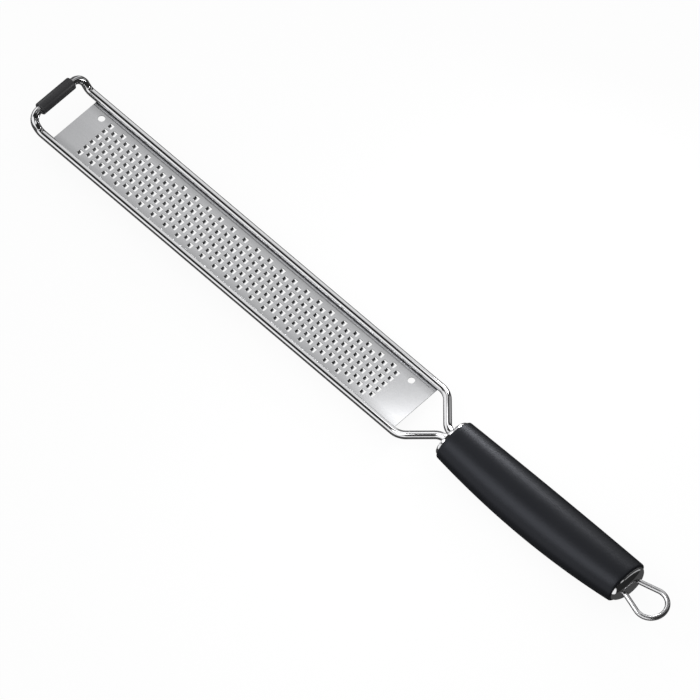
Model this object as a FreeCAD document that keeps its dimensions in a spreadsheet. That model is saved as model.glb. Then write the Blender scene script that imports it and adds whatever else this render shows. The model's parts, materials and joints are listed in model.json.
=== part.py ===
import FreeCAD, Part
import math
import os

import Sketcher
from FreeCAD import Placement, Rotation, Vector

# Fine grater: a perforated blade welded under a bent wire frame, with an oval grip behind it.
# X runs from the foot at the tip to the hanging loop, Z is up and the teeth point down.
# Inside this file X is 0 at the grip's front edge and Z is 0 in the plane of the side wires.

DIMENSIONS = {
    # Frame wire
    "wire_diameter": (4.0, "round wire of the frame"),
    "wire_spacing": (32.0, "centre distance of the two side wires"),
    "tail_spacing": (4.2, "centre distance of the two tails in the grip"),
    "tail_length": (60.0, "length of each tail inside the grip"),
    "tail_lead": (5.9, "grip's front edge to where the tails start to spread"),
    "neck_angle": (45.0, "angle of the neck runs to the long axis"),
    "neck_radius": (7.0, "bend radius beside the grip"),
    "shoulder_radius": (9.0, "bend radius where the neck meets the side wires"),
    # Foot at the tip
    "foot_lead": (6.0, "blade's tip end to where the side wires turn up"),
    "foot_reach": (11.5, "blade's tip end to the cross bar's centre"),
    "foot_rise": (6.5, "height of the cross bar over the side wires"),
    "foot_radius": (5.0, "bend radius of the rising runs"),
    "corner_radius": (5.0, "bend radius at the ends of the cross bar"),
    # Rubber sleeve on the cross bar
    "sleeve_diameter": (6.4, "outer diameter of the sleeve"),
    "sleeve_length": (20.4, "length of the sleeve"),
    "sleeve_rounding": (0.4, "rounding of the sleeve's rims"),
    "sleeve_clearance": (0.05, "radial clearance of the sleeve on the bar"),
    # Blade
    "blade_length": (222.0, "length of the sheet"),
    "blade_thickness": (0.4, "thickness of the sheet"),
    "blade_lap": (0.5, "how far the sheet reaches past each side wire's centre"),
    "blade_gap": (25.0, "blade's rear end to the grip's front edge"),
    "weld_gap": (0.02, "height of the weld between sheet and wire"),
    "peg_hole_diameter": (3.4, "round holes near the blade's ends"),
    "peg_hole_side": (10.0, "side distance of the round holes from the centre line"),
    "peg_hole_front": (8.3, "blade's tip end to the first round hole"),
    "peg_hole_rear": (12.0, "blade's rear end to the second round hole"),
    # Toothed windows
    "row_pitch": (4.0, "distance of neighbouring rows along the blade"),
    "column_pitch": (4.0, "distance of neighbouring windows in a row"),
    "first_row": (14.5, "blade's tip end to the centre of the first row"),
    "rear_margin": (19.5, "least distance of the last row's centre to the blade's rear end"),
    "window_length": (2.5, "window along the blade"),
    "window_width": (2.7, "window across the blade"),
    "tooth_width": (1.5, "width of a tooth"),
    "tooth_reach": (1.35, "length of a tooth seen from above"),
    "tooth_drop": (0.9, "how far the tooth's free end is bent down"),
    # Grip
    "grip_length": (110.0, "length of the grip"),
    "grip_middle": (48.0, "grip's front edge to its thickest section"),
    "front_width": (23.1, "width of the grip's front end"),
    "middle_width": (27.0, "width of the grip's thickest section"),
    "rear_width": (23.5, "width of the grip's rear end"),
    "front_height": (15.6, "height of the grip's front end"),
    "middle_height": (18.0, "height of the grip's thickest section"),
    "rear_height": (15.6, "height of the grip's rear end"),
    "belly_drop": (2.4, "thickest section's centre under the wires' plane"),
    "rear_rise": (2.6, "rear end's centre over the wires' plane"),
    "grip_front_rounding": (0.6, "rounding of the grip's front rim"),
    "grip_rear_rounding": (0.9, "rounding of the grip's rear rim"),
    "bore_clearance": (0.1, "clearance round each tail in the grip and the front cap"),
    # Polished end caps
    "cap_clearance": (0.05, "clearance round each cap in the grip's recess"),
    "front_cap_width": (20.6, "width of the front cap"),
    "front_cap_height": (13.2, "height of the front cap"),
    "front_cap_proud": (1.8, "how far the front cap stands out"),
    "front_cap_depth": (3.0, "depth of the front cap in the grip"),
    "front_cap_rounding": (0.9, "rounding of the front cap's rim"),
    "rear_cap_width": (21.0, "width of the rear cap"),
    "rear_cap_height": (13.0, "height of the rear cap"),
    "rear_cap_dome": (4.2, "height of the rear cap's dome"),
    "rear_cap_depth": (4.0, "depth of the rear cap in the grip"),
    # Hanging loop
    "loop_diameter": (2.5, "round wire of the hanging loop"),
    "loop_radius": (7.6, "centre line radius of the loop's round end"),
    "loop_reach": (24.2, "grip's rear end to the outer end of the loop"),
    "loop_root": (9.5, "centre distance of the loop's legs at the cap"),
    "loop_root_radius": (3.0, "bend radius of the legs above the cap"),
    "loop_root_lead": (4.3, "grip's rear end to where the legs spread"),
    "loop_clearance": (0.1, "clearance round each leg in the cap"),
}

COUNTS = {
    "wide_row_windows": (6, "windows in the first row of each pair"),
    "narrow_row_windows": (5, "windows in the second row of each pair"),
}

DERIVED = {
    "wire_radius": "=wire_diameter / 2",
    "blade_rear": "=-blade_gap",
    "blade_tip": "=-blade_gap - blade_length",
    "blade_width": "=wire_spacing + 2 * blade_lap",
    "blade_top": "=-wire_diameter / 2 - weld_gap",
    "bar_centre": "=-blade_gap - blade_length - foot_reach",
    "window_start": "=-blade_gap - blade_length + first_row - window_length / 2",
    "row_pairs": "=floor(((blade_length - first_row - rear_margin) / row_pitch + 1) / 2)",
    "axis_height": "=middle_height / 2 + belly_drop",
    "origin_shift": "=(blade_gap + blade_length + foot_reach + sleeve_diameter / 2"
                    " - grip_length - loop_reach) / 2",
}


def make_sheet(doc):
    """Writes every size into one spreadsheet and returns it."""
    sheet = doc.addObject("Spreadsheet::Sheet", "Dims")
    row = 1
    for alias, (value, note) in list(DIMENSIONS.items()) + list(COUNTS.items()):
        sheet.set(f"A{row}", note)
        sheet.set(f"B{row}", str(value))
        sheet.setAlias(f"B{row}", alias)
        row += 1
    for alias, formula in DERIVED.items():
        sheet.set(f"A{row}", alias.replace("_", " "))
        sheet.set(f"B{row}", formula)
        sheet.setAlias(f"B{row}", alias)
        row += 1
    doc.recompute()
    return sheet


def size(name):
    """Reads one size from the spreadsheet."""
    return float(SHEET.get(name))


def seat(piece, label):
    """Names a piece and moves it from the grip's datum to the part's origin."""
    piece.Label = label
    piece.setExpression("Placement.Base.x", "Dims.origin_shift")
    piece.setExpression("Placement.Base.z", "Dims.axis_height")
    return piece


def new_body(label):
    """Makes an empty body, seated and named."""
    return seat(DOC.addObject("PartDesign::Body", "Body_" + label), label)


def new_sketch(body, name, plane, x="0", y="0", z="0"):
    """Makes a sketch on an origin plane of the body, with its offset bound to formulas."""
    sketch = body.newObject("Sketcher::SketchObject", name)
    origin_plane = next(f for f in body.Origin.OriginFeatures if f.Role == plane)
    sketch.AttachmentSupport = [(origin_plane, "")]
    sketch.MapMode = "FlatFace"
    for axis, formula in zip("xyz", (x, y, z)):
        sketch.setExpression(f"AttachmentOffset.Base.{axis}", formula)
    return sketch


def bind(sketch, kind, *args, formula):
    """Adds one dimension to a sketch and binds it to a formula."""
    index = sketch.addConstraint(Sketcher.Constraint(kind, *args, UNBOUND))
    sketch.setExpression(f"Constraints[{index}]", formula)
    return index


def add_circle(sketch, radius, x="0"):
    """Draws a circle on the sketch's level axis, with its radius and side bound to formulas."""
    index = sketch.addGeometry(Part.Circle(Vector(1, 0, 0), Vector(0, 0, 1), 1))
    sketch.addConstraint(Sketcher.Constraint("PointOnObject", index, 3, -1))
    bind(sketch, "Radius", index, formula=radius)
    bind(sketch, "DistanceX", -1, 1, index, 3, formula=x)


def add_ellipse(sketch, width, height):
    """Draws a level ellipse round the sketch's origin, with both widths bound to formulas."""
    index = sketch.addGeometry(Part.Ellipse(Vector(2, 0), Vector(0, 1), Vector(0, 0)))
    sketch.exposeInternalGeometry(index)
    long_axis, short_axis = index + 1, index + 2
    sketch.addConstraint(Sketcher.Constraint("Coincident", index, 3, -1, 1))
    sketch.addConstraint(Sketcher.Constraint("Horizontal", long_axis))
    bind(sketch, "Distance", long_axis, formula=width)
    bind(sketch, "Distance", short_axis, formula=height)


def finish_feature(body, feature):
    """Rebuilds a feature and makes it the body's tip."""
    body.Tip = feature
    DOC.recompute()
    return feature


def pad(body, sketch, length, both_ways=False):
    """Extrudes a sketch by a formula, forwards or half of it to each side."""
    feature = body.newObject("PartDesign::Pad", sketch.Name + "_pad")
    feature.Profile = sketch
    feature.setExpression("Length", length)
    feature.Midplane = both_ways
    return finish_feature(body, feature)


def pocket(body, sketch, length, reverse=False):
    """Cuts a sketch's outline out of the body by a formula, and checks that it cut."""
    before = body.Shape.Volume
    feature = body.newObject("PartDesign::Pocket", sketch.Name + "_pocket")
    feature.Profile = sketch
    feature.setExpression("Length", length)
    feature.Reversed = reverse
    finish_feature(body, feature)
    if not body.Shape.Volume < before:
        raise ValueError(sketch.Name + " cut nothing")


def round_edges(body, feature, edges, radius, name):
    """Rounds the chosen edges of a feature."""
    fillet = body.newObject("PartDesign::Fillet", name)
    fillet.Base = (feature, edges)
    fillet.setExpression("Radius", radius)
    return finish_feature(body, fillet)


def rim_edges(feature, x):
    """Names the edges of a feature that lie in the plane at x."""
    names = []
    for number, edge in enumerate(feature.Shape.Edges, 1):
        box = edge.BoundBox
        if abs(box.XMin - x) < FLAT and abs(box.XMax - x) < FLAT:
            names.append(f"Edge{number}")
    return names


def window_corners():
    """Lists the tip-side centre point of every window, row by row."""
    corners = []
    for row in range(2 * int(size("row_pairs"))):
        count = int(size("narrow_row_windows" if row % 2 else "wide_row_windows"))
        x = size("window_start") + row * size("row_pitch")
        for column in range(count):
            y = (column - (count - 1) / 2) * size("column_pitch")
            corners.append(Vector(x, y, size("blade_top")))
    return corners


def window_tool():
    """Prism that cuts one window, with the middle of its tip-side top edge at the origin."""
    length, width, depth = size("window_length"), size("window_width"), size("blade_thickness")
    return Part.makeBox(length, width, depth, Vector(0, -width / 2, -depth))


def tooth_tool():
    """One tooth bent down from the window's tip-side edge, with a sharp free end."""
    reach, drop, thickness = size("tooth_reach"), size("tooth_drop"), size("blade_thickness")
    width = size("tooth_width")
    side = [Vector(0, -width / 2, 0), Vector(0, -width / 2, -thickness),
            Vector(reach, -width / 2, -thickness - drop), Vector(reach, -width / 2, -drop)]
    return Part.Face(Part.makePolygon(side + side[:1])).extrude(Vector(0, width, 0))


def copies(tool, places):
    """Lists a copy of one shape at each of the given places."""
    return [tool.translated(place) for place in places]


def peg_holes():
    """Lists the two round prisms that cut the holes near the blade's ends."""
    radius, depth = size("peg_hole_diameter") / 2, size("blade_thickness")
    side, bottom = size("peg_hole_side"), size("blade_top") - depth
    return [Part.makeCylinder(radius, depth, Vector(x, side, bottom))
            for x in (size("blade_tip") + size("peg_hole_front"),
                      size("blade_rear") - size("peg_hole_rear"))]


def make_blade():
    """Thin sheet with staggered rows of toothed windows and two round holes."""
    blade = DOC.addObject("Part::Feature", "blade")
    thickness, width = size("blade_thickness"), size("blade_width")
    corner = Vector(size("blade_tip"), -width / 2, size("blade_top") - thickness)
    sheet = Part.makeBox(size("blade_length"), width, thickness, corner)
    perforated = sheet.cut(copies(window_tool(), window_corners()) + peg_holes())
    blade.Shape = perforated.fuse(copies(tooth_tool(), window_corners()))
    return seat(blade, "blade")


def bent_path(points, radii):
    """Joins points by straight runs, with a tangent arc of the given radius at each inner one."""
    edges = []
    start = points[0]
    for before, corner, after, radius in zip(points, points[1:], points[2:], radii):
        back = (before - corner).normalize()
        ahead = (after - corner).normalize()
        half = back.getAngle(ahead) / 2
        reach = radius / math.tan(half)
        middle = (back + ahead).normalize() * (radius / math.sin(half) - radius)
        edges.append(Part.LineSegment(start, corner + back * reach).toShape())
        edges.append(
            Part.Arc(corner + back * reach, corner + middle, corner + ahead * reach).toShape())
        start = corner + ahead * reach
    edges.append(Part.LineSegment(start, points[-1]).toShape())
    return Part.Wire(edges)


def round_wire(path, radius):
    """Sweeps a round section along a path of straight runs and arcs."""
    start = path.OrderedEdges[0]
    heading = start.tangentAt(start.FirstParameter)
    section = Part.Wire(Part.makeCircle(radius, path.OrderedVertexes[0].Point, heading))
    return path.makePipeShell([section], True, False)


def frame_path():
    """Centre line of the frame: one tail, one side, the cross bar and back."""
    side = size("wire_spacing") / 2
    tail_side = size("tail_spacing") / 2
    spread = -size("tail_lead")
    shoulder = spread - (side - tail_side) / math.tan(math.radians(size("neck_angle")))
    turn_up = size("blade_tip") - size("foot_lead")
    bar = size("bar_centre")
    rise = size("foot_rise")
    half = [Vector(size("tail_length"), tail_side, 0), Vector(spread, tail_side, 0),
            Vector(shoulder, side, 0), Vector(turn_up, side, 0), Vector(bar, side, rise)]
    other_half = [Vector(p.x, -p.y, p.z) for p in reversed(half)]
    radii = [size("neck_radius"), size("shoulder_radius"), size("foot_radius"),
             size("corner_radius")]
    return bent_path(half + other_half, radii + radii[::-1])


def make_wire_frame():
    """One bent wire: two tails in the grip, the neck, two side wires and the raised foot."""
    frame = DOC.addObject("Part::Feature", "wire_frame")
    path = frame_path()
    frame.Shape = round_wire(path, size("wire_radius"))
    section = math.pi * size("wire_radius") ** 2
    if abs(frame.Shape.Volume / (section * path.Length) - 1) > VOLUME_TOLERANCE:
        raise ValueError("the frame's volume doesn't match its centre line")
    return seat(frame, "wire_frame")


def make_tip_sleeve():
    """Rubber tube on the frame's cross bar."""
    body = new_body("tip_sleeve")
    ring = new_sketch(body, "sleeve_ring", "XZ_Plane", x="Dims.bar_centre", y="Dims.foot_rise")
    add_circle(ring, "Dims.sleeve_diameter / 2")
    add_circle(ring, "Dims.wire_radius + Dims.sleeve_clearance")
    tube = pad(body, ring, "Dims.sleeve_length", both_ways=True)
    outer = size("sleeve_diameter") / 2
    rims = [f"Edge{n}" for n, edge in enumerate(tube.Shape.Edges, 1)
            if hasattr(edge.Curve, "Radius") and abs(edge.Curve.Radius - outer) < FLAT]
    round_edges(body, tube, rims, "Dims.sleeve_rounding", "sleeve_rims")
    return body


def cut_tail_slot(body, name, depth, x):
    """Cuts the round-ended slot that the frame's two tails pass through."""
    slot = new_sketch(body, name, "YZ_Plane", z=x)
    half = size("tail_spacing") / 2
    radius = size("wire_radius") + size("bore_clearance")
    right = Part.ArcOfCircle(Part.Circle(Vector(half, 0), Vector(0, 0, 1), radius),
                             -math.pi / 2, math.pi / 2)
    left = Part.ArcOfCircle(Part.Circle(Vector(-half, 0), Vector(0, 0, 1), radius),
                            math.pi / 2, 3 * math.pi / 2)
    slot.addGeometry([right, left])
    slot.addGeometry(Part.LineSegment(Vector(half, radius), Vector(-half, radius)))
    slot.addGeometry(Part.LineSegment(Vector(-half, -radius), Vector(half, -radius)))
    for line, first, second in ((2, 0, 1), (3, 1, 0)):
        slot.addConstraint(Sketcher.Constraint("Tangent", first, 2, line, 1))
        slot.addConstraint(Sketcher.Constraint("Tangent", line, 2, second, 1))
    slot.addConstraint(Sketcher.Constraint("PointOnObject", 0, 3, -1))
    slot.addConstraint(Sketcher.Constraint("PointOnObject", 1, 3, -1))
    bind(slot, "Radius", 0, formula="Dims.wire_radius + Dims.bore_clearance")
    bind(slot, "DistanceX", -1, 1, 0, 3, formula="Dims.tail_spacing / 2")
    bind(slot, "DistanceX", 1, 3, -1, 1, formula="Dims.tail_spacing / 2")
    pocket(body, slot, depth, reverse=True)


def make_grip():
    """Oval barrel-shaped grip with a low belly, a recess at each end and a slot for the tails."""
    body = new_body("grip")
    stations = (("rear", "Dims.grip_length", "Dims.rear_rise"),
                ("middle", "Dims.grip_middle", "-Dims.belly_drop"), ("front", "0", "0"))
    sections = []
    for name, x, height in stations:
        section = new_sketch(body, f"grip_{name}", "YZ_Plane", y=height, z=x)
        add_ellipse(section, f"Dims.{name}_width", f"Dims.{name}_height")
        sections.append(section)
    loft = body.newObject("PartDesign::AdditiveLoft", "grip_loft")
    loft.Profile = sections[0]
    loft.Sections = sections[1:]
    finish_feature(body, loft)
    front = round_edges(body, loft, rim_edges(loft, 0), "Dims.grip_front_rounding",
                        "grip_front_rim")
    round_edges(body, front, rim_edges(front, size("grip_length")),
                "Dims.grip_rear_rounding", "grip_rear_rim")

    front_recess = new_sketch(body, "front_recess", "YZ_Plane")
    add_ellipse(front_recess, "Dims.front_cap_width + 2 * Dims.cap_clearance",
                "Dims.front_cap_height + 2 * Dims.cap_clearance")
    pocket(body, front_recess, "Dims.front_cap_depth + Dims.cap_clearance", reverse=True)
    rear_recess = new_sketch(body, "rear_recess", "YZ_Plane", y="Dims.rear_rise",
                             z="Dims.grip_length")
    add_ellipse(rear_recess, "Dims.rear_cap_width + 2 * Dims.cap_clearance",
                "Dims.rear_cap_height + 2 * Dims.cap_clearance")
    pocket(body, rear_recess, "Dims.rear_cap_depth + Dims.cap_clearance")
    cut_tail_slot(body, "tail_bore", "Dims.tail_length + Dims.bore_clearance", "0")
    return body


def make_front_cap():
    """Polished oval cap that the frame's tails pass through."""
    body = new_body("front_cap")
    outline = new_sketch(body, "front_cap_outline", "YZ_Plane", z="-Dims.front_cap_proud")
    add_ellipse(outline, "Dims.front_cap_width", "Dims.front_cap_height")
    plate = pad(body, outline, "Dims.front_cap_proud + Dims.front_cap_depth")
    round_edges(body, plate, rim_edges(plate, -size("front_cap_proud")),
                "Dims.front_cap_rounding", "front_cap_rim")
    cut_tail_slot(body, "front_cap_slot", "Dims.front_cap_proud + Dims.front_cap_depth",
                  "-Dims.front_cap_proud")
    return body


def make_rear_cap():
    """Polished cap with a domed face and two holes for the loop's legs."""
    body = new_body("rear_cap")
    outline = new_sketch(body, "rear_cap_outline", "YZ_Plane", y="Dims.rear_rise",
                         z="Dims.grip_length - Dims.rear_cap_depth")
    add_ellipse(outline, "Dims.rear_cap_width", "Dims.rear_cap_height")
    pad(body, outline, "Dims.rear_cap_depth")
    dome = body.newObject("PartDesign::AdditiveEllipsoid", "rear_cap_dome")
    dome.setExpression("Radius1", "Dims.rear_cap_dome")
    dome.setExpression("Radius2", "Dims.rear_cap_height / 2")
    dome.setExpression("Radius3", "Dims.rear_cap_width / 2")
    dome.Angle1 = 0
    dome.Placement = Placement(Vector(size("grip_length"), 0, size("rear_rise")),
                               FACING_REAR)
    finish_feature(body, dome)
    holes = new_sketch(body, "loop_holes", "YZ_Plane", y="Dims.rear_rise",
                       z="Dims.grip_length - Dims.rear_cap_depth")
    for side in ("Dims.loop_root / 2", "-Dims.loop_root / 2"):
        add_circle(holes, "Dims.loop_diameter / 2 + Dims.loop_clearance", side)
    pocket(body, holes, "Dims.rear_cap_depth + Dims.rear_cap_dome", reverse=True)
    return body


def loop_path():
    """Centre line of the loop: a leg in the cap, a spreading leg, the round end and back."""
    rear = size("grip_length")
    rise = size("rear_rise")
    root = size("loop_root") / 2
    radius = size("loop_radius")
    centre = rear + size("loop_reach") - size("loop_diameter") / 2 - radius
    spread = Vector(rear + size("loop_root_lead"), root, rise)
    away = math.hypot(centre - spread.x, root)
    slope = math.asin(radius / away) - math.atan2(root, centre - spread.x)
    touch = Vector(centre - radius * math.sin(slope), radius * math.cos(slope), rise)
    foot = Vector(rear - size("rear_cap_depth") + size("loop_clearance"), root, rise)
    leg = bent_path([foot, spread, touch], [size("loop_root_radius")]).Edges
    crown = Part.Arc(touch, Vector(centre + radius, 0, rise), Vector(touch.x, -touch.y, rise))
    other = bent_path([Vector(p.x, -p.y, p.z) for p in (touch, spread, foot)],
                      [size("loop_root_radius")]).Edges
    return Part.Wire(leg + [crown.toShape()] + other)


def make_hanging_loop():
    """Teardrop loop of thin wire, with both legs in the rear cap."""
    loop = DOC.addObject("Part::Feature", "hanging_loop")
    loop.Shape = round_wire(loop_path(), size("loop_diameter") / 2)
    return seat(loop, "hanging_loop")


def check_and_write(pieces):
    """Refuses a failed object or a broken solid, then writes one file per piece."""
    DOC.recompute()
    for item in DOC.Objects:
        if "Invalid" in item.State or "Error" in item.State:
            raise ValueError(item.Label + " failed to rebuild")
    for piece in pieces:
        if piece.Shape.isNull() or not piece.Shape.isValid():
            raise ValueError(piece.Label + " has no valid shape")
    os.makedirs("parts", exist_ok=True)
    for piece in pieces:
        piece.Shape.exportStep(f"parts/{piece.Label}.step")
        print(f"{piece.Label:14s} {len(piece.Shape.Solids)} solid {piece.Shape.Volume:9.1f} mm3")


FLAT = 1e-4
UNBOUND = 1.0
VOLUME_TOLERANCE = 1e-3
FACING_REAR = Rotation(Vector(0, 1, 0), 90)

DOC = FreeCAD.newDocument("fine_grater")
SHEET = make_sheet(DOC)
check_and_write([
    make_blade(),
    make_wire_frame(),
    make_tip_sleeve(),
    make_front_cap(),
    make_grip(),
    make_rear_cap(),
    make_hanging_loop(),
])
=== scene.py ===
"""Fine grater: toothed blade in a bent wire frame, rubber-sleeved foot, oval grip and loop.

Sizes are in millimetres from the grip's datum: X is 0 at the grip's front edge, Z is 0 in the
plane of the side wires. Every mesh is moved from there into the shared frame and into metres.
"""

import json
import logging
import math
from dataclasses import dataclass, field
from enum import Enum
from typing import Callable, Iterable

import bmesh
import bpy
from mathutils import Matrix, Vector

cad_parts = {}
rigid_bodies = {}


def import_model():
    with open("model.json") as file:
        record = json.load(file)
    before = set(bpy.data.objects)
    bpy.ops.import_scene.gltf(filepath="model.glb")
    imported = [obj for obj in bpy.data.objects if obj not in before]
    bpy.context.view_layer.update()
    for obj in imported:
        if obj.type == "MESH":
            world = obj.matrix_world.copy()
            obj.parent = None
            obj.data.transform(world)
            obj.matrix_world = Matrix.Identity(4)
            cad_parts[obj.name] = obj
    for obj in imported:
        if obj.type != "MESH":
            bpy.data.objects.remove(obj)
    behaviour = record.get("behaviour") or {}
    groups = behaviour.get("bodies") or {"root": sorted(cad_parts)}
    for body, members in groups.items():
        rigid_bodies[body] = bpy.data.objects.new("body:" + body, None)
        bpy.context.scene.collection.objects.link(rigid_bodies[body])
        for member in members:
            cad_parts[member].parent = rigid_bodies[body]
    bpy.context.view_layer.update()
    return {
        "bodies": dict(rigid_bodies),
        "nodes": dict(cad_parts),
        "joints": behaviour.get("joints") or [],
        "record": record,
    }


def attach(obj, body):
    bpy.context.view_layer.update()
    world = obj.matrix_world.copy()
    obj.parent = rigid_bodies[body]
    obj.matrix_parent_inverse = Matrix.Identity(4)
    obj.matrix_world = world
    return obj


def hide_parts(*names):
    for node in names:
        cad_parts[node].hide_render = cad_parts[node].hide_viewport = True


LOG = logging.getLogger("grater")

ALONG = Vector((1, 0, 0))
ACROSS = Vector((0, 1, 0))
UPWARDS = Vector((0, 0, 1))
MILLIMETRE = 0.001
X_AXIS, Y_AXIS = 0, 1
BODY = "root"
WHITE = (1, 1, 1, 1)

# Tolerances in millimetres: for lying in a plane, and for being in one place.
IN_PLANE = 1e-4
SAME_PLACE = 0.01

# Faces across a rounded edge.
ROUNDING_STEPS = 5

Colour = tuple[float, float, float]


class Slot(Enum):
    """Names of the record's material slots."""

    BLADE = "blade_steel"
    WIRE = "wire_steel"
    CAP = "cap_steel"
    GRIP = "grip_plastic"
    SLEEVE = "sleeve_rubber"


class Row(Enum):
    """The two kinds of window row, by their number of windows."""

    WIDE = 6
    NARROW = 5


@dataclass(frozen=True)
class Datum:
    """Place of the grip's datum in the shared frame, in millimetres."""

    forward: float = 63.75
    height: float = 11.4

    def matrix(self) -> Matrix:
        """Returns the transform from datum millimetres to frame metres."""
        move = Matrix.Translation((self.forward, 0, self.height))
        return Matrix.Scale(MILLIMETRE, 4) @ move


DATUM = Datum()


def add_object(name: str, data: bpy.types.ID) -> bpy.types.Object:
    """Adds an object to the scene.

    Args:
        name: Name of the object.
        data: Its mesh, lamp or camera.

    Returns:
        The new object, at the origin.
    """
    added = bpy.data.objects.new(name, data)
    bpy.context.scene.collection.objects.link(added)
    return added


def make_piece(name: str, mesh: bmesh.types.BMesh, finish: bpy.types.Material,
               stands_for: Iterable[str]) -> bpy.types.Object:
    """Turns a finished bmesh into a piece that rides on the body.

    Args:
        name: Name of the piece.
        mesh: Shape in millimetres from the grip's datum; it is freed here.
        finish: Material of the piece.
        stands_for: CAD nodes that the piece replaces.

    Returns:
        The new object, at the origin.
    """
    mesh.transform(DATUM.matrix())
    data = bpy.data.meshes.new(name)
    mesh.to_mesh(data)
    mesh.free()
    data.materials.append(finish)
    piece = add_object(name, data)
    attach(piece, BODY)
    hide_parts(*stands_for)
    LOG.info("%s: %d faces", name, len(data.polygons))
    return piece


def smooth_shading(piece: bpy.types.Object, sharp_angle: float = 40.0) -> None:
    """Shades a piece smoothly, apart from edges sharper than an angle in degrees.

    Args:
        piece: Piece to shade.
        sharp_angle: Angle between two faces from which their edge stays sharp.
    """
    piece.data.shade_smooth()
    piece.data.set_sharp_from_angle(angle=math.radians(sharp_angle))


def new_vertices(result: dict) -> list[bmesh.types.BMVert]:
    """Returns the vertices in an operator's result."""
    return [item for item in result["geom"] if isinstance(item, bmesh.types.BMVert)]


def edges_between(vertices: Iterable[bmesh.types.BMVert]) -> list[bmesh.types.BMEdge]:
    """Returns the edges whose two ends are both among the vertices."""
    chosen = set(vertices)
    linked = {edge for vertex in chosen for edge in vertex.link_edges}
    return [edge for edge in linked if set(edge.verts) <= chosen]


def edges_at(mesh: bmesh.types.BMesh, axis: int, place: float) -> list[bmesh.types.BMEdge]:
    """Finds the edges that lie in a plane.

    Args:
        mesh: Mesh to search.
        axis: Number of the axis that the plane stands across.
        place: Where the plane cuts that axis.

    Returns:
        The edges.
    """
    return [edge for edge in mesh.edges
            if all(abs(vertex.co[axis] - place) < IN_PLANE for vertex in edge.verts)]


# Finishes


@dataclass(frozen=True)
class Grain:
    """A noise pattern: its stretch along the object's axes, cells per metre and octaves."""

    stretch: tuple[float, float, float]
    scale: float
    detail: float


@dataclass(frozen=True)
class Relief:
    """How a pattern stands out of a surface: its depth in metres and its strength."""

    depth: float
    strength: float


class NodeTree:
    """Short calls for building a node tree."""

    MIX_COLOURS = (6, 7)
    MIXED_COLOUR = 2

    def __init__(self, tree: bpy.types.NodeTree) -> None:
        """Empties the tree and keeps it."""
        self.tree = tree
        self.tree.nodes.clear()

    def node(self, kind: str, **settings: object) -> bpy.types.Node:
        """Adds a node and sets its properties.

        Args:
            kind: Blender's type name of the node.
            **settings: Properties of the node.

        Returns:
            The new node.
        """
        made = self.tree.nodes.new(kind)
        for name, value in settings.items():
            setattr(made, name, value)
        return made

    def link(self, source: bpy.types.NodeSocket, target: bpy.types.NodeSocket) -> None:
        """Joins two sockets."""
        self.tree.links.new(source, target)

    def set(self, node: bpy.types.Node, **values: object) -> None:
        """Sets input values by socket name, with spaces written as underscores."""
        for name, value in values.items():
            node.inputs[name.replace("_", " ")].default_value = value

    def grain(self, pattern: Grain) -> bpy.types.NodeSocket:
        """Makes a noise pattern on the object and returns its socket, 0 to 1."""
        place = self.node("ShaderNodeTexCoord")
        mapping = self.node("ShaderNodeMapping")
        self.set(mapping, Scale=pattern.stretch)
        self.link(place.outputs["Object"], mapping.inputs["Vector"])
        noise = self.node("ShaderNodeTexNoise")
        self.set(noise, Scale=pattern.scale, Detail=pattern.detail, Roughness=0.6)
        self.link(mapping.outputs["Vector"], noise.inputs["Vector"])
        return noise.outputs["Fac"]

    def between(self, value: bpy.types.NodeSocket, low: float, high: float,
                start: float = 0.0, end: float = 1.0) -> bpy.types.NodeSocket:
        """Maps a value onto a range.

        Args:
            value: Socket that gives the value.
            low: Result up to the start.
            high: Result from the end.
            start: Value where the change starts.
            end: Value where it ends.

        Returns:
            The socket of the result.
        """
        ranger = self.node("ShaderNodeMapRange")
        self.set(ranger, From_Min=start, From_Max=end, To_Min=low, To_Max=high)
        self.link(value, ranger.inputs["Value"])
        return ranger.outputs["Result"]

    def bump(self, height: bpy.types.NodeSocket, relief: Relief) -> bpy.types.NodeSocket:
        """Turns a height into a normal.

        Args:
            height: Socket that gives the height, 0 to 1.
            relief: How far the height stands out.

        Returns:
            The socket of the normal.
        """
        node = self.node("ShaderNodeBump")
        self.set(node, Strength=relief.strength, Distance=relief.depth)
        self.link(height, node.inputs["Height"])
        return node.outputs["Normal"]

    def blend(self, factor: bpy.types.NodeSocket, first: Colour,
              second: Colour) -> bpy.types.NodeSocket:
        """Mixes two colours.

        Args:
            factor: Socket that gives the share of the second colour.
            first: Linear colour for 0.
            second: Linear colour for 1.

        Returns:
            The socket of the mixed colour.
        """
        mix = self.node("ShaderNodeMix", data_type="RGBA")
        for index, colour in zip(self.MIX_COLOURS, (first, second)):
            mix.inputs[index].default_value = (*colour, 1)
        self.link(factor, mix.inputs[0])
        return mix.outputs[self.MIXED_COLOUR]

    def mix(self, share: bpy.types.NodeSocket, first: bpy.types.NodeSocket,
            second: bpy.types.NodeSocket) -> bpy.types.NodeSocket:
        """Mixes two shaders.

        Args:
            share: Socket of the second shader's share.
            first: Socket of the first shader.
            second: Socket of the second shader.

        Returns:
            The socket of the mixed shader.
        """
        node = self.node("ShaderNodeMixShader")
        for index, socket in enumerate((share, first, second)):
            self.link(socket, node.inputs[index])
        return node.outputs[0]

    def join(self, operation: str, first: bpy.types.NodeSocket,
             second: bpy.types.NodeSocket) -> bpy.types.NodeSocket:
        """Joins two values.

        Args:
            operation: Blender's name of the operation.
            first: Socket of the first value.
            second: Socket of the second value.

        Returns:
            The socket of the result.
        """
        node = self.node("ShaderNodeMath", operation=operation)
        self.link(first, node.inputs[0])
        self.link(second, node.inputs[1])
        return node.outputs[0]


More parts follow.
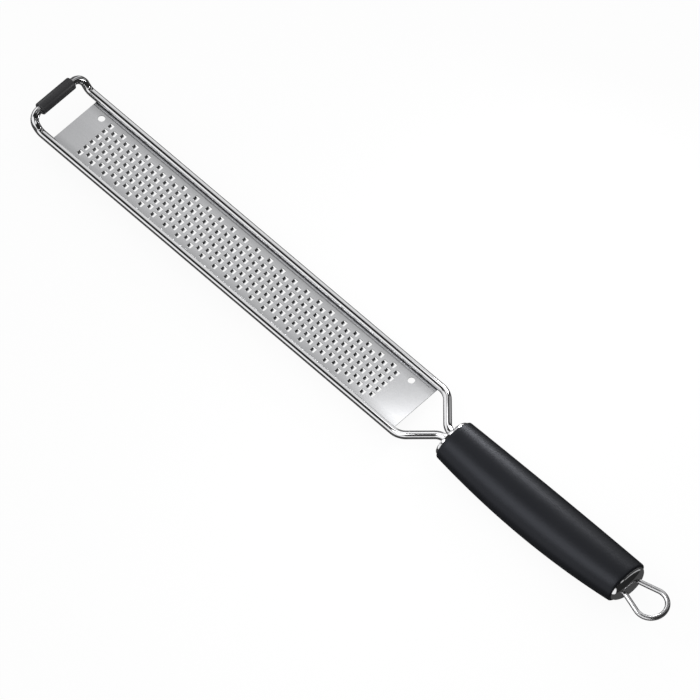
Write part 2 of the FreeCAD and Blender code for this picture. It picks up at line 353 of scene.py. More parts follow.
@dataclass(frozen=True)
class Finish:
    """A surface finish whose look is worked out from noise on the object."""

    name: str

    def material(self) -> bpy.types.Material:
        """Builds the material of the finish."""
        made = bpy.data.materials.new(self.name)
        made.use_nodes = True
        nodes = NodeTree(made.node_tree)
        shader = nodes.node("ShaderNodeBsdfPrincipled")
        output = nodes.node("ShaderNodeOutputMaterial")
        nodes.link(shader.outputs["BSDF"], output.inputs["Surface"])
        self.dress(nodes, shader)
        return made

    def dress(self, nodes: NodeTree, shader: bpy.types.Node) -> None:
        """Sets the shader up; each finish has its own way."""
        raise NotImplementedError


@dataclass(frozen=True)
class Shade:
    """A darkening towards the sheet's sides, by metres from its middle."""

    start: float
    end: float
    level: float


@dataclass(frozen=True)
class RolledSheet(Finish):
    """Satin rolled steel with fine lines along the sheet, painted shade along its long margins
    and a thin painted shadow line in the crevice under each wire.
    """

    name: str = "satin_sheet"
    dull: Colour = (0.695, 0.70, 0.715)
    bright: Colour = (0.815, 0.82, 0.835)
    smoothest: float = 0.15
    roughest: float = 0.23
    lines: Grain = Grain((0.02, 1.0, 1.0), 4000.0, 3.0)
    clouds: Grain = Grain((0.4, 1.0, 1.0), 60.0, 2.0)
    relief: Relief = Relief(0.00001, 0.25)
    # Painted shade: the sheet darkens towards both long sides, and a thin dark shadow line is
    # painted where each wire meets it.
    painted_margin_shade: Shade = Shade(0.0090, 0.0135, 0.75)
    painted_crevice_shade: Shade = Shade(0.0141, 0.0144, 0.08)

    def dress(self, nodes: NodeTree, shader: bpy.types.Node) -> None:
        """Adds the rolled lines, soft cloudiness and a little relief."""
        nodes.set(shader, Metallic=1.0)
        lines, clouds = nodes.grain(self.lines), nodes.grain(self.clouds)
        nodes.link(nodes.between(lines, self.smoothest, self.roughest),
                   shader.inputs["Roughness"])
        steel = nodes.node("ShaderNodeVectorMath", operation="SCALE")
        nodes.link(nodes.blend(clouds, self.dull, self.bright), steel.inputs[0])
        nodes.link(self.darkening(nodes), steel.inputs["Scale"])
        nodes.link(steel.outputs[0], shader.inputs["Base Color"])
        nodes.link(nodes.bump(lines, self.relief), shader.inputs["Normal"])

    def darkening(self, nodes: NodeTree) -> bpy.types.NodeSocket:
        """Works out the share of brightness left by the painted shade along the margins and the
        painted shadow lines under the wires.

        Args:
            nodes: Node tree of the material.

        Returns:
            The socket of the share, 0 to 1.
        """
        place = nodes.node("ShaderNodeTexCoord")
        split = nodes.node("ShaderNodeSeparateXYZ")
        nodes.link(place.outputs["Object"], split.inputs[0])
        aside = nodes.node("ShaderNodeMath", operation="ABSOLUTE")
        nodes.link(split.outputs["Y"], aside.inputs[0])
        shares = [nodes.between(aside.outputs[0], 1.0, shade.level, shade.start, shade.end)
                  for shade in (self.painted_margin_shade, self.painted_crevice_shade)]
        return nodes.join("MULTIPLY", *shares)


@dataclass(frozen=True)
class PolishedSteel(Finish):
    """Polished stainless steel with faint drawing marks."""

    name: str = "polished_steel"
    pale: Colour = (0.86, 0.86, 0.87)
    deep: Colour = (0.80, 0.80, 0.81)
    smoothest: float = 0.05
    roughest: float = 0.12
    marks: Grain = Grain((0.2, 1.0, 1.0), 900.0, 4.0)
    clouds: Grain = Grain((1.0, 1.0, 1.0), 90.0, 2.0)
    relief: Relief = Relief(0.000003, 0.1)

    def dress(self, nodes: NodeTree, shader: bpy.types.Node) -> None:
        """Adds wiping marks to the gloss and a slight change of tone."""
        nodes.set(shader, Metallic=1.0)
        marks, clouds = nodes.grain(self.marks), nodes.grain(self.clouds)
        nodes.link(nodes.between(marks, self.smoothest, self.roughest),
                   shader.inputs["Roughness"])
        nodes.link(nodes.blend(clouds, self.pale, self.deep), shader.inputs["Base Color"])
        nodes.link(nodes.bump(marks, self.relief), shader.inputs["Normal"])


@dataclass(frozen=True)
class SatinSteel(PolishedSteel):
    """The same steel with a satin surface."""

    name: str = "satin_steel"
    smoothest: float = 0.24
    roughest: float = 0.32


@dataclass(frozen=True)
class SoftTouch(Finish):
    """Black soft-touch plastic with a fine moulded grain."""

    name: str = "soft_touch_black"
    deep: Colour = (0.006, 0.0065, 0.008)
    worn: Colour = (0.010, 0.0105, 0.0125)
    smoothest: float = 0.34
    roughest: float = 0.40
    gloss: float = 0.25
    sheen: Colour = (0.84, 0.88, 1.0)
    moulding: Grain = Grain((1.0, 1.0, 1.0), 2600.0, 2.0)
    clouds: Grain = Grain((0.5, 1.0, 1.0), 45.0, 3.0)
    relief: Relief = Relief(0.00003, 0.35)

    def dress(self, nodes: NodeTree, shader: bpy.types.Node) -> None:
        """Adds the moulded grain and faint cloudiness from handling."""
        nodes.set(shader, Specular_IOR_Level=self.gloss, Specular_Tint=(*self.sheen, 1))
        grain, clouds = nodes.grain(self.moulding), nodes.grain(self.clouds)
        nodes.link(nodes.blend(clouds, self.deep, self.worn), shader.inputs["Base Color"])
        nodes.link(nodes.between(clouds, self.smoothest, self.roughest),
                   shader.inputs["Roughness"])
        nodes.link(nodes.bump(grain, self.relief), shader.inputs["Normal"])


@dataclass(frozen=True)
class SleeveRubber(SoftTouch):
    """Black rubber with a slight bloom."""

    name: str = "black_rubber"
    deep: Colour = (0.020, 0.020, 0.022)
    worn: Colour = (0.038, 0.038, 0.041)
    smoothest: float = 0.30
    roughest: float = 0.40
    gloss: float = 0.8
    sheen: Colour = (1.0, 1.0, 1.0)
    moulding: Grain = Grain((1.0, 1.0, 1.0), 3200.0, 2.0)
    clouds: Grain = Grain((1.0, 1.0, 1.0), 220.0, 3.0)
    relief: Relief = Relief(0.00002, 0.4)


# Bent wire


@dataclass
class BentWire:
    """A round wire that is drawn out run by run and bent round its tools."""

    diameter: float
    sides: int = 40
    degrees_per_step: float = 2.5
    mesh: bmesh.types.BMesh = field(default_factory=bmesh.new)

    def start(self, place: Vector, heading: Vector) -> None:
        """Cuts the wire's first end.

        Args:
            place: Centre of the end.
            heading: Direction that the wire leaves in.
        """
        self.place = place.copy()
        self.heading = heading.normalized()
        turn = self.heading.to_track_quat("Z", "Y").to_matrix().to_4x4()
        bmesh.ops.create_circle(self.mesh, cap_ends=True, segments=self.sides,
                                radius=self.diameter / 2,
                                matrix=Matrix.Translation(place) @ turn)
        self.ring = list(self.mesh.edges)

    def run(self, length: float) -> None:
        """Draws a straight run of the given length."""
        drawn = new_vertices(bmesh.ops.extrude_edge_only(self.mesh, edges=self.ring))
        step = self.heading * length
        bmesh.ops.translate(self.mesh, verts=drawn, vec=step)
        self.ring = edges_between(drawn)
        self.place += step

    def bend(self, axis: Vector, radius: float, angle: float) -> None:
        """Bends the wire round a tool.

        Args:
            axis: Direction that the turn is right-handed about.
            radius: Radius of the wire's centre line.
            angle: Angle of the bend, in radians.
        """
        centre = self.place + axis.cross(self.heading) * radius
        steps = max(2, round(math.degrees(angle) / self.degrees_per_step))
        turned = bmesh.ops.spin(self.mesh, geom=self.ring, cent=centre, axis=axis,
                                angle=angle, steps=steps, use_duplicate=False)
        self.ring = [item for item in turned["geom_last"]
                     if isinstance(item, bmesh.types.BMEdge)]
        turn = Matrix.Rotation(angle, 3, axis)
        self.place = centre + turn @ (self.place - centre)
        self.heading = turn @ self.heading

    def follow(self, corners: list[Vector], radii: list[float]) -> None:
        """Draws the wire along corners that are rounded with the given radii.

        Args:
            corners: Ends and corners of the centre line.
            radii: Bend radius at each inner corner.
        """
        self.start(corners[0], corners[1] - corners[0])
        for corner, after, radius in zip(corners[1:], corners[2:], radii):
            ahead = (after - corner).normalized()
            angle = self.heading.angle(ahead)
            lead = radius * math.tan(angle / 2)
            self.run((corner - self.place).length - lead)
            self.bend(self.heading.cross(ahead).normalized(), radius, angle)
        self.run((corners[-1] - self.place).length)

    def finish(self) -> bmesh.types.BMesh:
        """Closes the wire's last end and returns the mesh."""
        bmesh.ops.holes_fill(self.mesh, edges=self.ring, sides=self.sides)
        bmesh.ops.recalc_face_normals(self.mesh, faces=self.mesh.faces)
        return self.mesh


@dataclass
class WireFrame:
    """One bent wire: two tails, the neck, two side wires and the raised foot."""

    diameter: float = 4.0
    spacing: float = 32.0
    tail_spacing: float = 4.2
    tail_length: float = 60.0
    tail_lead: float = 5.9
    neck_angle: float = 45.0
    neck_radius: float = 7.0
    shoulder_radius: float = 9.0
    turn_up: float = -253.0
    bar_centre: float = -258.5
    foot_rise: float = 6.5
    foot_radius: float = 5.0
    corner_radius: float = 5.0

    def corners(self) -> list[Vector]:
        """Returns the corners of the centre line, from one tail round to the other."""
        side = self.spacing / 2
        tail = self.tail_spacing / 2
        shoulder = -self.tail_lead - (side - tail) / math.tan(math.radians(self.neck_angle))
        half = [Vector((self.tail_length, tail, 0)), Vector((-self.tail_lead, tail, 0)),
                Vector((shoulder, side, 0)), Vector((self.turn_up, side, 0)),
                Vector((self.bar_centre, side, self.foot_rise))]
        return half + [Vector((place.x, -place.y, place.z)) for place in reversed(half)]

    def build(self, finish: bpy.types.Material) -> bpy.types.Object:
        """Makes the frame in the given finish."""
        radii = [self.neck_radius, self.shoulder_radius, self.foot_radius, self.corner_radius]
        wire = BentWire(self.diameter)
        wire.follow(self.corners(), radii + radii[::-1])
        piece = make_piece("bent_wire_frame", wire.finish(), finish, ["wire_frame"])
        smooth_shading(piece)
        return piece


@dataclass
class HangingLoop:
    """Teardrop loop of thin wire with both legs in the rear cap."""

    diameter: float = 2.5
    crown_radius: float = 7.6
    outer_end: float = 134.2
    height: float = 2.6
    leg_start: float = 106.1
    leg_spacing: float = 9.5
    spread_start: float = 114.3
    spread_radius: float = 3.0

    def build(self, finish: bpy.types.Material) -> bpy.types.Object:
        """Makes the loop in the given finish."""
        side = self.leg_spacing / 2
        centre = self.outer_end - self.diameter / 2 - self.crown_radius
        away = math.hypot(centre - self.spread_start, side)
        reach = math.sqrt(away ** 2 - self.crown_radius ** 2)
        slope = (math.asin(self.crown_radius / away)
                 - math.atan2(side, centre - self.spread_start))
        lead = self.spread_radius * math.tan(slope / 2)
        wire = BentWire(self.diameter, sides=32)
        wire.start(Vector((self.leg_start, -side, self.height)), ALONG)
        wire.run(self.spread_start - self.leg_start - lead)
        wire.bend(-UPWARDS, self.spread_radius, slope)
        wire.run(reach - lead)
        wire.bend(UPWARDS, self.crown_radius, math.pi + 2 * slope)
        wire.run(reach - lead)
        wire.bend(-UPWARDS, self.spread_radius, slope)
        wire.run(self.spread_start - self.leg_start - lead)
        piece = make_piece("teardrop_loop", wire.finish(), finish, ["hanging_loop"])
        smooth_shading(piece)
        return piece


@dataclass
class TipSleeve:
    """Rubber tube on the frame's cross bar."""

    outer: float = 6.4
    bore: float = 4.1
    length: float = 20.4
    rounding: float = 0.4
    centre: float = -258.5
    height: float = 6.5
    sides: int = 64

    def build(self, finish: bpy.types.Material) -> bpy.types.Object:
        """Makes the sleeve in the given finish."""
        mesh = bmesh.new()
        wall = (self.outer - self.bore) / 2
        middle = (self.outer + self.bore) / 4
        section = Matrix.Translation((middle, 0, 0)) @ Matrix.Diagonal(
            (wall, self.length, 1, 1))
        bmesh.ops.create_grid(mesh, x_segments=1, y_segments=1, size=0.5, matrix=section)
        outer_corners = [vertex for vertex in mesh.verts if vertex.co.x > middle]
        bmesh.ops.bevel(mesh, geom=outer_corners, offset=self.rounding,
                        segments=ROUNDING_STEPS, profile=0.5, affect="VERTICES", material=-1)
        bmesh.ops.delete(mesh, geom=mesh.faces[:], context="FACES_ONLY")
        bmesh.ops.spin(mesh, geom=mesh.edges[:], cent=(0, 0, 0), axis=ACROSS,
                       angle=2 * math.pi, steps=self.sides, use_merge=True,
                       use_duplicate=False)
        bmesh.ops.recalc_face_normals(mesh, faces=mesh.faces)
        bmesh.ops.translate(mesh, verts=mesh.verts, vec=(self.centre, 0, self.height))
        piece = make_piece("rubber_sleeve", mesh, finish, ["tip_sleeve"])
        smooth_shading(piece)
        return piece


@dataclass
class Blade:
    """Thin sheet with staggered rows of toothed windows and two round holes."""

    tip: float = -247.0
    rear: float = -25.0
    width: float = 33.0
    top: float = -2.02
    thickness: float = 0.4
    row_pitch: float = 4.0
    first_row: float = -232.5
    row_pairs: int = 24
    window_length: float = 2.5
    window_width: float = 2.7
    window_corner: float = 0.35
    window_corner_steps: int = 2
    tooth_width: float = 1.7
    tooth_bend: float = 44.0
    tooth_bend_radius: float = 0.35
    tooth_bend_steps: int = 3
    tooth_run: float = 1.3
    tooth_body: float = 0.7
    tooth_point: float = 0.85
    hole_diameter: float = 3.4
    hole_side: float = 10.0
    hole_places: tuple[float, float] = (-238.7, -37.0)
    hole_sides: int = 32
    sharp_angle: float = 25.0

    def window_cell(self) -> bmesh.types.BMesh:
        """Makes one square of sheet round the origin, with its window and its tooth."""
        mesh = bmesh.new()
        bmesh.ops.create_grid(mesh, x_segments=1, y_segments=2, size=self.row_pitch / 2)
        bmesh.ops.delete(mesh, geom=mesh.faces[:], context="FACES_ONLY")
        bmesh.ops.delete(mesh, geom=edges_at(mesh, Y_AXIS, 0), context="EDGES")
        window = Matrix.Diagonal((self.window_length, self.window_width, 1, 1))
        made = bmesh.ops.create_grid(mesh, x_segments=1, y_segments=1, size=0.5, matrix=window)
        bmesh.ops.bevel(mesh, geom=made["verts"], offset=self.window_corner,
                        segments=self.window_corner_steps, profile=0.5, affect="VERTICES",
                        material=-1)
        for side in (-1, 1):
            faces = mesh.faces[:]
            rims = list({edge for face in faces for edge in face.edges})
            corners = list({vertex for face in faces for vertex in face.verts})
            bmesh.ops.bisect_plane(mesh, geom=faces + rims + corners,
                                   plane_co=(0, side * self.tooth_width / 2, 0),
                                   plane_no=ACROSS)
        inner = [edge for edge in mesh.edges if len(edge.link_faces) == 2]
        bmesh.ops.delete(mesh, geom=mesh.faces[:], context="FACES_ONLY")
        bmesh.ops.delete(mesh, geom=inner, context="EDGES")
        bmesh.ops.triangle_fill(mesh, use_beauty=True, edges=mesh.edges[:], normal=UPWARDS)
        self.add_tooth(mesh)
        return mesh

    def add_tooth(self, mesh: bmesh.types.BMesh) -> None:
        """Bends a tooth down from the tip-side edge of the cell's window."""
        half_width = self.tooth_width / 2 + IN_PLANE
        root = [edge for edge in edges_at(mesh, X_AXIS, -self.window_length / 2)
                if all(abs(vertex.co.y) < half_width for vertex in edge.verts)]
        angle = math.radians(self.tooth_bend)
        turned = bmesh.ops.spin(
            mesh, geom=root, axis=ACROSS, angle=angle, steps=self.tooth_bend_steps,
            cent=(-self.window_length / 2, 0, -self.tooth_bend_radius), use_duplicate=False)
        edge = [item for item in turned["geom_last"] if isinstance(item, bmesh.types.BMEdge)]
        slope = Vector((math.cos(angle), 0, -math.sin(angle)))
        for share, narrowing in ((self.tooth_body, 1.0),
                                 (1 - self.tooth_body, self.tooth_point)):
            drawn = new_vertices(bmesh.ops.extrude_edge_only(mesh, edges=edge))
            bmesh.ops.translate(mesh, verts=drawn, vec=slope * self.tooth_run * share)
            bmesh.ops.scale(mesh, verts=drawn, vec=(1, narrowing, 1))
            edge = edges_between(drawn)

    def plain_cell(self) -> bmesh.types.BMesh:
        """Makes the half square of bare sheet that fills the end of a narrow row."""
        mesh = bmesh.new()
        shape = Matrix.Diagonal((self.row_pitch, self.row_pitch / 2, 1, 1))
        bmesh.ops.create_grid(mesh, x_segments=1, y_segments=1, size=0.5, matrix=shape)
        return mesh

    def copy_cell(self, mesh: bmesh.types.BMesh, cell: bpy.types.Mesh, x: float,
                  y: float) -> None:
        """Adds a copy of a cell to the sheet.

        Args:
            mesh: The sheet.
            cell: The cell to copy.
            x: Place of the copy's centre along the blade.
            y: Place of the copy's centre across the blade.
        """
        before = len(mesh.verts)
        mesh.from_mesh(cell)
        mesh.verts.ensure_lookup_table()
        bmesh.ops.translate(mesh, verts=mesh.verts[before:], vec=(x, y, 0))

    def punched_field(self) -> bmesh.types.BMesh:
        """Lays out all the rows of windows and joins them into one sheet."""
        cells = {}
        for name, made in (("window", self.window_cell()), ("plain", self.plain_cell())):
            cells[name] = bpy.data.meshes.new(name + "_cell")
            made.to_mesh(cells[name])
            made.free()
        mesh = bmesh.new()
        for index in range(2 * self.row_pairs):
            row = Row.NARROW if index % 2 else Row.WIDE
            x = self.first_row + index * self.row_pitch
            for column in range(row.value):
                y = (column - (row.value - 1) / 2) * self.row_pitch
                self.copy_cell(mesh, cells["window"], x, y)
            if row is Row.NARROW:
                # The half square's middle is a quarter of a pitch past the last window's square.
                for side in (-1, 1):
                    y = side * (row.value / 2 + 0.25) * self.row_pitch
                    self.copy_cell(mesh, cells["plain"], x, y)
        for cell in cells.values():
            bpy.data.meshes.remove(cell)
        bmesh.ops.remove_doubles(mesh, verts=mesh.verts, dist=SAME_PLACE)
        return mesh

    def widen(self, mesh: bmesh.types.BMesh) -> None:
        """Draws the bare margins out to the sheet's two long sides."""
        field_side = Row.WIDE.value * self.row_pitch / 2
        for side in (-1, 1):
            drawn = new_vertices(bmesh.ops.extrude_edge_only(
                mesh, edges=edges_at(mesh, Y_AXIS, side * field_side)))
            bmesh.ops.translate(mesh, verts=drawn,
                                vec=(0, side * (self.width / 2 - field_side), 0))

    def lengthen(self, mesh: bmesh.types.BMesh, start: float, end: float,
                 hole: float) -> None:
        """Draws the sheet out to one end and punches the round hole there.

        Args:
            mesh: The sheet.
            start: Where the rows of windows end.
            end: Where the sheet ends.
            hole: Place of the round hole's centre along the blade.
        """
        drawn = new_vertices(bmesh.ops.extrude_edge_only(
            mesh, edges=edges_at(mesh, X_AXIS, start)))
        bmesh.ops.translate(mesh, verts=drawn, vec=(end - start, 0, 0))
        strips = list({face for vertex in drawn for face in vertex.link_faces})
        plate = bmesh.ops.dissolve_faces(mesh, faces=strips)["region"][0]
        rim = list(plate.edges)
        bmesh.ops.delete(mesh, geom=[plate], context="FACES_ONLY")
        circle = bmesh.ops.create_circle(
            mesh, segments=self.hole_sides, radius=self.hole_diameter / 2,
            matrix=Matrix.Translation((hole, self.hole_side, 0)))
        bmesh.ops.triangle_fill(mesh, use_beauty=True, normal=UPWARDS,
                                edges=rim + edges_between(circle["verts"]))

    def build(self, finish: bpy.types.Material) -> bpy.types.Object:
        """Makes the blade in the given finish."""
        mesh = self.punched_field()
        self.widen(mesh)
        half = self.row_pitch / 2
        last_row = self.first_row + (2 * self.row_pairs - 1) * self.row_pitch
        self.lengthen(mesh, self.first_row - half, self.tip, self.hole_places[0])
        self.lengthen(mesh, last_row + half, self.rear, self.hole_places[1])
        bmesh.ops.recalc_face_normals(mesh, faces=mesh.faces)
        if sum(face.normal.z for face in mesh.faces) < 0:
            bmesh.ops.reverse_faces(mesh, faces=mesh.faces)
        bmesh.ops.solidify(mesh, geom=mesh.faces[:], thickness=self.thickness)
        bmesh.ops.translate(mesh, verts=mesh.verts, vec=(0, 0, self.top))
        LOG.info("sheet from %.3f to %.3f", min(v.co.z for v in mesh.verts),
                 max(v.co.z for v in mesh.verts))
        piece = make_piece("toothed_sheet", mesh, finish, ["blade"])
        smooth_shading(piece, self.sharp_angle)
        return piece


@dataclass(frozen=True)
class Oval:
    """A level ellipse across the grip's axis."""

    width: float
    height: float
    rise: float = 0.0

    def matrix(self, x: float) -> Matrix:
        """Returns the transform of a unit circle to this oval at a place along the grip."""
        place = Matrix.Translation((x, 0, self.rise))
        facing = Matrix.Rotation(math.pi / 2, 4, "Y")
        return place @ Matrix.Diagonal((1, self.width / 2, self.height / 2, 1)) @ facing


@dataclass
class Grip:
    """Oval barrel with a low belly, rounded rims and a recess for each cap."""

    length: float = 110.0
    middle: float = 48.0
    front: Oval = Oval(23.1, 15.6)
    belly: Oval = Oval(27.0, 18.0, -2.4)
    rear: Oval = Oval(23.5, 15.6, 2.6)
    stations: int = 44
    sides: int = 96
    front_rounding: float = 0.6
    rear_rounding: float = 0.9
    front_recess: Oval = Oval(20.7, 13.3)
    rear_recess: Oval = Oval(21.1, 13.1, 2.6)
    front_depth: float = 3.05
    rear_depth: float = 4.05
    flat_ring: float = 0.3

    def oval_at(self, x: float) -> Oval:
        """Returns the barrel's section at a place along the grip."""
        places = (0.0, self.middle, self.length)
        shares = []
        for own in places:
            others = [place for place in places if place != own]
            shares.append(math.prod((x - other) / (own - other) for other in others))
        ovals = (self.front, self.belly, self.rear)
        return Oval(sum(s * o.width for s, o in zip(shares, ovals)),
                    sum(s * o.height for s, o in zip(shares, ovals)),
                    sum(s * o.rise for s, o in zip(shares, ovals)))

    def sink_recess(self, mesh: bmesh.types.BMesh, x: float, inside: Oval,
                    depth: float) -> None:
        """Sinks the seat of a cap into one end of the grip.

        Args:
            mesh: The grip.
            x: Place of the end.
            inside: Outline of the recess.
            depth: How far the recess goes in, with its sign along X.
        """
        end = max((face for face in mesh.faces
                   if abs(face.calc_center_median().x - x) < SAME_PLACE),
                  key=lambda face: face.calc_area())
        bmesh.ops.inset_individual(mesh, faces=[end], thickness=self.flat_ring)
        own_width = max(v.co.y for v in end.verts) - min(v.co.y for v in end.verts)
        own_height = max(v.co.z for v in end.verts) - min(v.co.z for v in end.verts)
        centre = Matrix.Translation((0, 0, -inside.rise))
        bmesh.ops.scale(mesh, verts=end.verts, space=centre,
                        vec=(1, inside.width / own_width, inside.height / own_height))
        walls = bmesh.ops.extrude_discrete_faces(mesh, faces=[end])
        bmesh.ops.translate(mesh, verts=walls["faces"][0].verts, vec=(depth, 0, 0))

    def build(self, finish: bpy.types.Material) -> bpy.types.Object:
        """Makes the grip in the given finish."""
        mesh = bmesh.new()
        bmesh.ops.create_circle(mesh, cap_ends=True, segments=self.sides, radius=1,
                                matrix=self.front.matrix(0))
        ring = mesh.verts[:]
        old = self.front
        for station in range(1, self.stations + 1):
            x = self.length * station / self.stations
            new = self.oval_at(x)
            ring = new_vertices(bmesh.ops.extrude_edge_only(mesh, edges=edges_between(ring)))
            shift = Vector((self.length / self.stations, 0, new.rise - old.rise))
            bmesh.ops.translate(mesh, verts=ring, vec=shift)
            bmesh.ops.scale(mesh, verts=ring, space=Matrix.Translation((0, 0, -new.rise)),
                            vec=(1, new.width / old.width, new.height / old.height))
            old = new
        bmesh.ops.holes_fill(mesh, edges=edges_between(ring), sides=self.sides)
        bmesh.ops.recalc_face_normals(mesh, faces=mesh.faces)
        for x, rounding in ((0, self.front_rounding), (self.length, self.rear_rounding)):
            bmesh.ops.bevel(mesh, geom=edges_at(mesh, X_AXIS, x), offset=rounding,
                            segments=ROUNDING_STEPS, profile=0.5, affect="EDGES", material=-1)
        self.sink_recess(mesh, 0, self.front_recess, self.front_depth)
        self.sink_recess(mesh, self.length, self.rear_recess, -self.rear_depth)
        piece = make_piece("soft_grip", mesh, finish, ["grip"])
        smooth_shading(piece)
        return piece


@dataclass
class Caps:
    """The two polished caps, whose CAD solids show as they are."""

    nodes: tuple[str, str] = ("front_cap", "rear_cap")

    def dress(self, frame: dict, finish: bpy.types.Material) -> None:
        """Gives both caps their finish.

        Args:
            finish: Material of the caps.
        """
        for name in self.nodes:
            node = frame["nodes"][name]
            node.data.materials.clear()
            node.data.materials.append(finish)
            LOG.info("%s: dressed", name)


# Studio


Stops = tuple[tuple[float, float], ...]


@dataclass(frozen=True)
class Panel:
    """A panel of the surroundings: its level over the X and over the Y of a direction."""

    along: Stops
    across: Stops


@dataclass(frozen=True)
class Lamp:
    """A square soft lamp: where it stands and points, its side in metres and its watts."""

    name: str
    place: tuple[float, float, float]
    target: tuple[float, float, float]
    side: float
    power: float


@dataclass
class Studio:
    """White floor, plain soft light, panels that only gloss mirrors, and four lamps."""

    floor_size: float = 6.0
    floor_colour: Colour = (0.85, 0.85, 0.85)
    floor_glow: float = 0.93
    floor_mirrored: float = 0.07
    plain_level: float = 0.85
    # White along the near side, two strips on the far side, white past the tip, one overhead.
    panels: tuple[Panel, ...] = (
        Panel(along=((-1.0, 1.0), (1.0, 1.0)),
              across=((-1.0, 1.0), (-0.70, 1.0), (-0.62, 0.02), (1.0, 0.02))),
        Panel(along=((-0.53, 0.15), (-0.45, 0.80), (-0.30, 0.80), (-0.18, 0.02), (0.05, 0.02),
                     (0.18, 0.50), (0.28, 0.50), (0.36, 0.02)),
              across=((0.10, 0.0), (0.20, 0.68), (0.45, 0.68), (0.56, 1.0))),
        Panel(along=((-0.70, 1.0), (-0.60, 0.0)), across=((0.30, 1.0), (0.40, 0.1))),
        Panel(along=((-0.20, 0.0), (-0.10, 0.60), (0.10, 0.60), (0.18, 0.0)),
              across=((-0.20, 0.0), (-0.10, 1.0), (0.04, 1.0), (0.14, 0.0))))
    # Glare on the rear plate, a paler middle of the sheet, and the two bands on the grip.
    lamps: tuple[Lamp, ...] = (
        Lamp("sheet_lamp", (-0.016, 0.046, 0.179), (0.058, -0.028, 0), 0.052, 0.0113),
        Lamp("field_lamp", (-0.196, 0.131, 0.31), (-0.065, 0, 0.009), 0.19, 0.017),
        Lamp("crown_lamp", (0.050, -0.078, 0.172), (0.12, 0, 0.01), 0.10, 0.12),
        Lamp("flank_lamp", (0.004, 0.158, 0.102), (0.080, 0, 0.01), 0.05, 0.13))

    def build_floor(self) -> None:
        """Makes the floor, which shows nearly white and keeps a faint shadow."""
        mesh = bmesh.new()
        bmesh.ops.create_grid(mesh, x_segments=1, y_segments=1, size=self.floor_size / 2)
        data = bpy.data.meshes.new("floor")
        mesh.to_mesh(data)
        mesh.free()
        material = bpy.data.materials.new("white_floor")
        material.use_nodes = True
        nodes = NodeTree(material.node_tree)
        paint = nodes.node("ShaderNodeBsdfDiffuse")
        nodes.set(paint, Color=(*self.floor_colour, 1))
        glow = nodes.node("ShaderNodeEmission")
        nodes.set(glow, Color=WHITE, Strength=1.0)
        mirrored = nodes.node("ShaderNodeEmission")
        nodes.set(mirrored, Color=WHITE, Strength=self.floor_mirrored)
        rays = nodes.node("ShaderNodeLightPath")
        share = nodes.node("ShaderNodeMath", operation="MULTIPLY")
        nodes.link(rays.outputs["Is Camera Ray"], share.inputs[0])
        share.inputs[1].default_value = self.floor_glow
        seen = nodes.mix(share.outputs[0], paint.outputs[0], glow.outputs[0])
        both = nodes.mix(rays.outputs["Is Glossy Ray"], seen, mirrored.outputs[0])
        output = nodes.node("ShaderNodeOutputMaterial")
        nodes.link(both, output.inputs["Surface"])
        data.materials.append(material)
        floor = add_object("floor", data)

    def build_surroundings(self) -> None:
        """Makes the world: white to the camera, plain to the light, panels to the metal."""
        world = bpy.data.worlds.new("studio")
        bpy.context.scene.world = world
        world.use_nodes = True
        world.cycles.sampling_method = "NONE"
        nodes = NodeTree(world.node_tree)
        place = nodes.node("ShaderNodeTexCoord")
        split = nodes.node("ShaderNodeSeparateXYZ")
        nodes.link(place.outputs["Generated"], split.inputs[0])
        level = None
        for panel in self.panels:
            along = self.bands(nodes, split.outputs["X"], panel.along)
            across = self.bands(nodes, split.outputs["Y"], panel.across)
            own = nodes.join("MULTIPLY", along, across)
            level = nodes.join("MAXIMUM", level, own) if level else own
        panels = nodes.node("ShaderNodeBackground")
        nodes.link(level, panels.inputs["Color"])
        plain = nodes.node("ShaderNodeBackground")
        nodes.set(plain, Color=WHITE, Strength=self.plain_level)
        white = nodes.node("ShaderNodeBackground")
        nodes.set(white, Color=WHITE)
        rays = nodes.node("ShaderNodeLightPath")
        unseen = nodes.mix(rays.outputs["Is Glossy Ray"], plain.outputs[0],
                           panels.outputs[0])
        both = nodes.mix(rays.outputs["Is Camera Ray"], unseen, white.outputs[0])
        output = nodes.node("ShaderNodeOutputWorld")
        nodes.link(both, output.inputs["Surface"])

    def bands(self, nodes: NodeTree, value: bpy.types.NodeSocket,
              stops: Stops) -> bpy.types.NodeSocket:
        """Maps one part of a direction onto bright and dark bands.

        Args:
            nodes: Node tree of the world.
            value: Socket of the direction's part, -1 to 1.
            stops: Pairs of that part and the band's level.

        Returns:
            The socket of the level.
        """
        curve = nodes.node("ShaderNodeValToRGB")
        share = nodes.node("ShaderNodeMapRange")
        nodes.set(share, From_Min=-1.0, From_Max=1.0)
        nodes.link(value, share.inputs["Value"])
        nodes.link(share.outputs["Result"], curve.inputs["Fac"])
        while len(curve.color_ramp.elements) < len(stops):
            curve.color_ramp.elements.new(0.5)
        for element, (part, level) in zip(curve.color_ramp.elements, stops):
            element.position = (part + 1) / 2
            element.color = (level, level, level, 1)
        return curve.outputs["Color"]

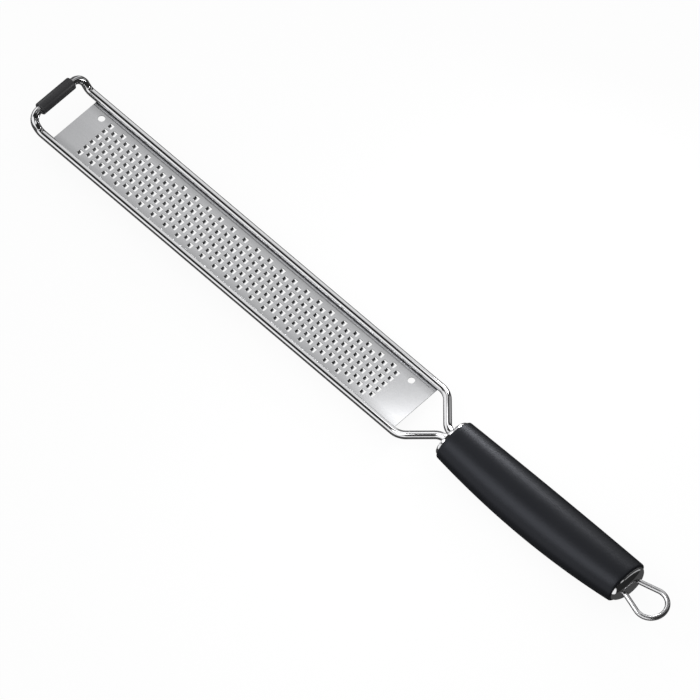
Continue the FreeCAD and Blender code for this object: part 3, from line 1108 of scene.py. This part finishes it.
    def add_lamp(self, lamp: Lamp) -> None:
        """Adds a lamp, which the camera doesn't see."""
        data = bpy.data.lights.new(lamp.name, "AREA")
        data.shape = "SQUARE"
        data.size = lamp.side
        data.energy = lamp.power
        added = add_object(lamp.name, data)
        added.visible_camera = False
        place, target = Vector(lamp.place), Vector(lamp.target)
        turn = (target - place).to_track_quat("-Z", "Y").to_matrix().to_4x4()
        added.matrix_world = Matrix.Translation(place) @ turn

    def build(self) -> None:
        """Makes the floor, the surroundings and the lamps."""
        self.build_floor()
        self.build_surroundings()
        for lamp in self.lamps:
            self.add_lamp(lamp)


@dataclass
class Viewpoint:
    """Camera at the photo's viewing angle."""

    azimuth: float = 44.80
    elevation: float = 58.36
    distance: float = 6.31
    pixels_per_metre: float = 2184.0
    centre_px: tuple[float, float] = (354.5, 356.0)
    height: float = 0.0114
    frame_px: int = 700
    sensor: float = 36.0

    def build(self) -> None:
        """Makes the camera and sets it as the scene's."""
        turn, tilt = math.radians(self.azimuth), math.radians(self.elevation)
        back = Vector((math.sin(turn) * math.cos(tilt), -math.cos(turn) * math.cos(tilt),
                       math.sin(tilt)))
        right = Vector((math.cos(turn), math.sin(turn), 0))
        up = back.cross(right)
        data = bpy.data.cameras.new("camera")
        data.sensor_width = self.sensor
        data.lens = self.pixels_per_metre * self.distance * self.sensor / self.frame_px
        data.clip_end = 50
        middle = self.frame_px / 2
        data.shift_x = (middle - self.centre_px[0]) / self.frame_px
        data.shift_y = (self.centre_px[1] - middle) / self.frame_px
        camera = add_object("camera", data)
        turned = Matrix((right, up, back)).transposed().to_4x4()
        target = Vector((0, 0, self.height))
        camera.matrix_world = Matrix.Translation(target + back * self.distance) @ turned
        bpy.context.scene.camera = camera


def main() -> None:
    """Builds the grater, its studio and its camera."""
    logging.basicConfig(level=logging.INFO, format="%(name)s: %(message)s")
    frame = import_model()
    bpy.context.scene.view_settings.view_transform = "Standard"
    sheet = RolledSheet().material()
    polished = PolishedSteel().material()
    builders: list[tuple[Callable, bpy.types.Material]] = [
        (Blade().build, sheet),
        (WireFrame().build, polished),
        (TipSleeve().build, SleeveRubber().material()),
        (Grip().build, SoftTouch().material()),
        (HangingLoop().build, SatinSteel().material()),
    ]
    for build, finish in builders:
        build(finish)
    Caps().dress(frame, polished)
    Studio().build()
    Viewpoint().build()


if __name__ == "__main__":
    main()
